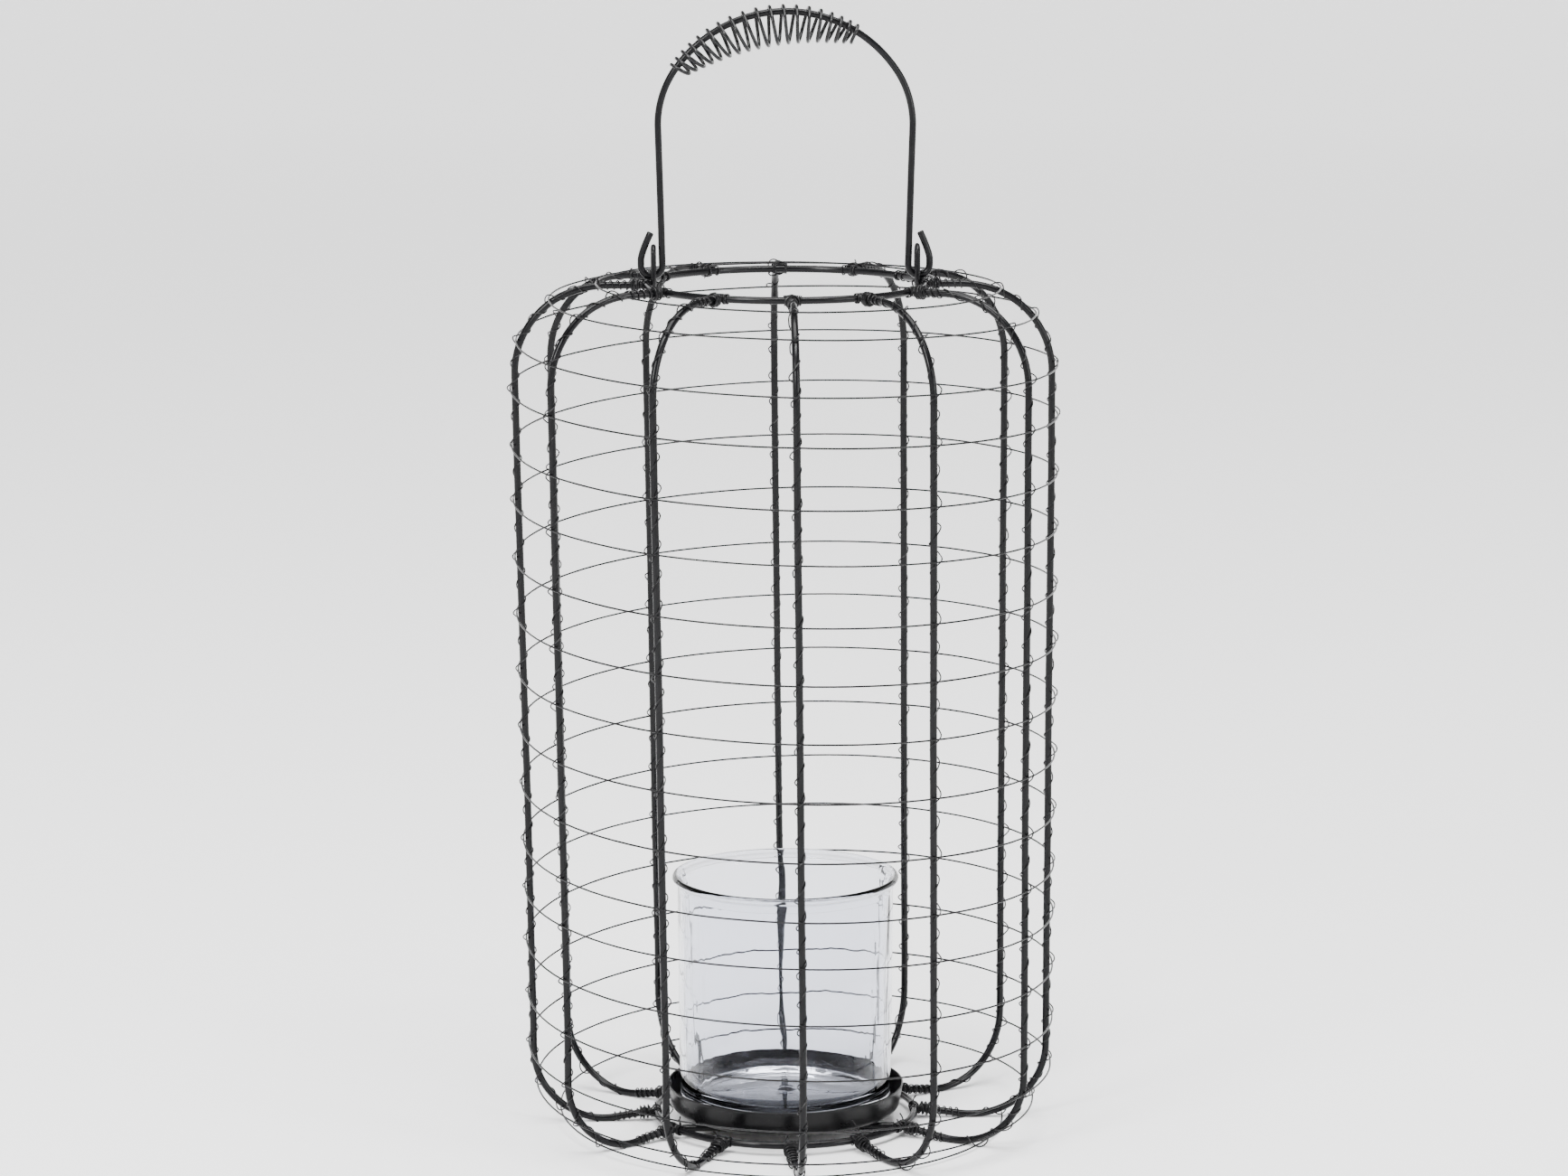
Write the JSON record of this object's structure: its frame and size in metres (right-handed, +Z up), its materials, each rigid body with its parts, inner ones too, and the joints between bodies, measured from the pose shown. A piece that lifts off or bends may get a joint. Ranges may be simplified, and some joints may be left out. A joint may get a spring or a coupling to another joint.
{
  "type": "candle lantern",
  "caption": "Round wire-cage candle lantern with a spiral-wound side, a dish and glass cup for the candle, and a hooked bail handle with a coil grip.",
  "frame": {"origin": "on the floor under the cage's vertical axis, where the ribs' lowest bends stand", "axes": "+Z up along the cage's axis; +X towards the right eyelet and hook, along the handle's hinge axis; -Y is the front"},
  "size_m": [0.3036, 0.3036, 0.6409],
  "materials": {
    "black_lacquered_wire": "satin black lacquer on drawn steel wire",
    "black_pressed_sheet": "semi-gloss black lacquer on pressed sheet",
    "dark_binding_wire": "thin black-coated binding wire",
    "clear_glass": "clear, very faintly violet-grey blown glass"
  },
  "bodies": {
    "cage": {"top_ring": "black_lacquered_wire", "bottom_ring": "black_lacquered_wire", "rib_01": "black_lacquered_wire", "rib_02": "black_lacquered_wire", "rib_03": "black_lacquered_wire", "rib_04": "black_lacquered_wire", "rib_05": "black_lacquered_wire", "rib_06": "black_lacquered_wire", "rib_07": "black_lacquered_wire", "rib_08": "black_lacquered_wire", "rib_09": "black_lacquered_wire", "rib_10": "black_lacquered_wire", "rib_11": "black_lacquered_wire", "rib_12": "black_lacquered_wire", "spiral_wire": "dark_binding_wire", "dish_support_bar_front": "black_lacquered_wire", "dish_support_bar_rear": "black_lacquered_wire", "candle_dish": "black_pressed_sheet", "eyelet_left": "black_lacquered_wire", "eyelet_right": "black_lacquered_wire"},
    "handle": {"bail_handle": "black_lacquered_wire"},
    "grip": {"grip_coil": "black_lacquered_wire"},
    "glass": {"glass_cup": "clear_glass"}
  },
  "joints": [
    {"name": "handle_swing", "type": "hinge", "parent": "cage", "child": "handle", "pos_m": [0, 0, 0.48915], "axis": [1, 0, 0], "range_deg": [-89, 89]},
    {"name": "grip_slide", "type": "hinge", "parent": "handle", "child": "grip", "pos_m": [0, 0, 0.56142], "axis": [0, 1, 0], "range_deg": [0, 20]},
    {"name": "glass_lift", "type": "slide", "parent": "cage", "child": "glass", "axis": [0, 0, 1], "range_m": [0, 0.44]}
  ]
}
